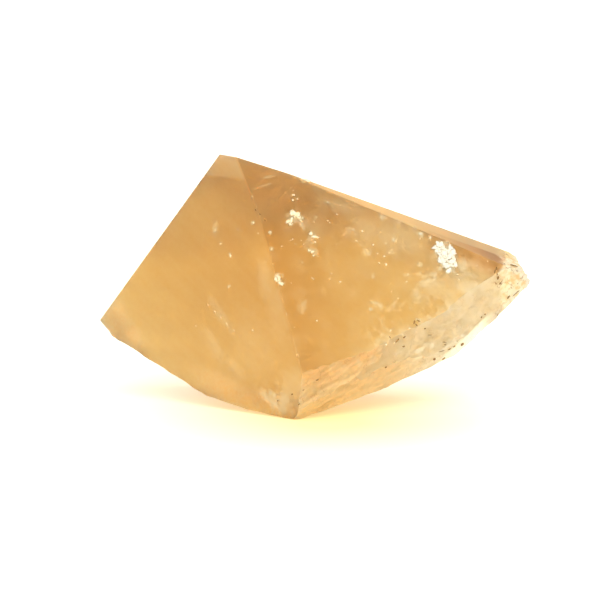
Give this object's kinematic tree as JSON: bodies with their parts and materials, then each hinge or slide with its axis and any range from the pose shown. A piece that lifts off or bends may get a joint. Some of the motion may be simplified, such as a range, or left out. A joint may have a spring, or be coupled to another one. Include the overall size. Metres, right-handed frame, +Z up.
{
  "type": "topaz crystal",
  "caption": "Rough honey-coloured translucent crystal: flat natural growth faces above, an uneven broken underside, resting on the flattest part of the break.",
  "frame": {"origin": "middle of the crystal's footprint box, on the surface it stands on", "axes": "+Z up; +X along the longest way across, towards the broken tip; -Y is the side with the two large front faces"},
  "size_m": [0.0604, 0.04, 0.0351],
  "materials": {
    "topaz": "milky translucent honey crystal, index 1.62, smooth growth faces and a rough pale break"
  },
  "bodies": {
    "root": {"topaz_crystal": "topaz"}
  },
  "joints": []
}
